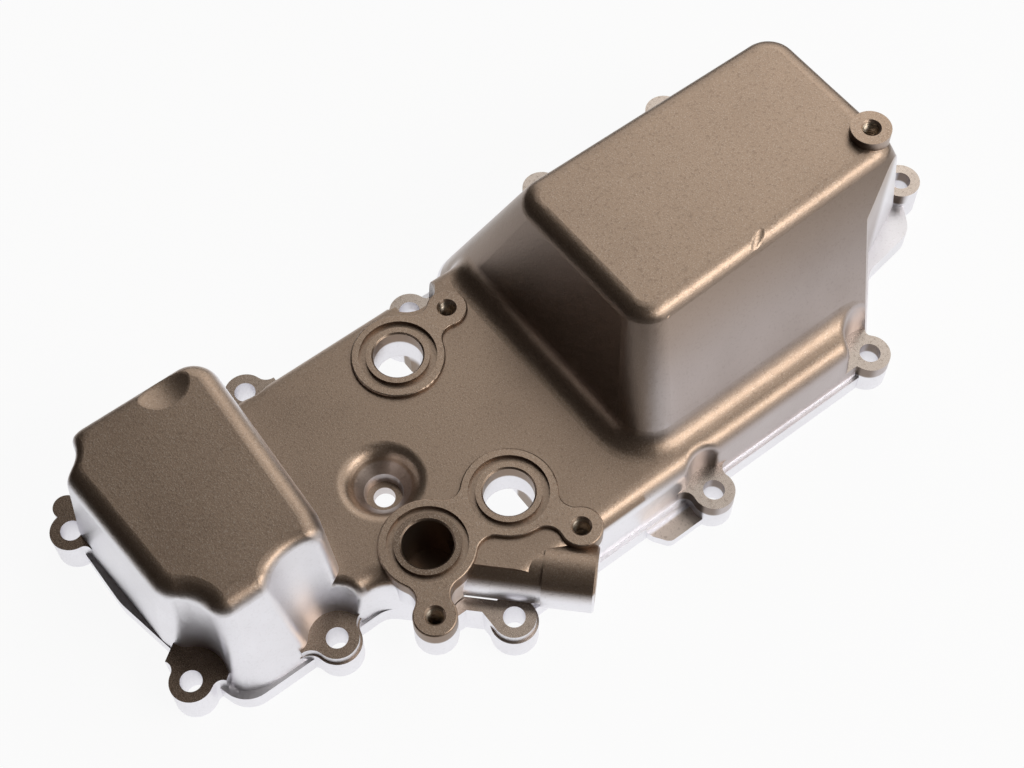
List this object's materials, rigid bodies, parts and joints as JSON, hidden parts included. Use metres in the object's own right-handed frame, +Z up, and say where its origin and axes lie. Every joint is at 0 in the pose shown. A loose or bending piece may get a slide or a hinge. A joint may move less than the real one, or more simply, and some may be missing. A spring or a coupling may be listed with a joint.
{
  "type": "crankcase cover",
  "caption": "Cast lower crankcase cover with a bolted gasket flange, a low dome, a tall box, ringed ports with seal grooves and a side tube.",
  "frame": {"origin": "on the gasket face, under the middle of the cover's outline", "axes": "+X along the long side, from the low dome to the tall box; +Y from the edge with the side port to the back edge; +Z up from the gasket face"},
  "size_m": [0.298, 0.1362, 0.071],
  "materials": {
    "casting": "fine blasted casting, matte, warm grey-brown"
  },
  "bodies": {
    "root": {"crankcase_cover": "casting"}
  },
  "joints": []
}
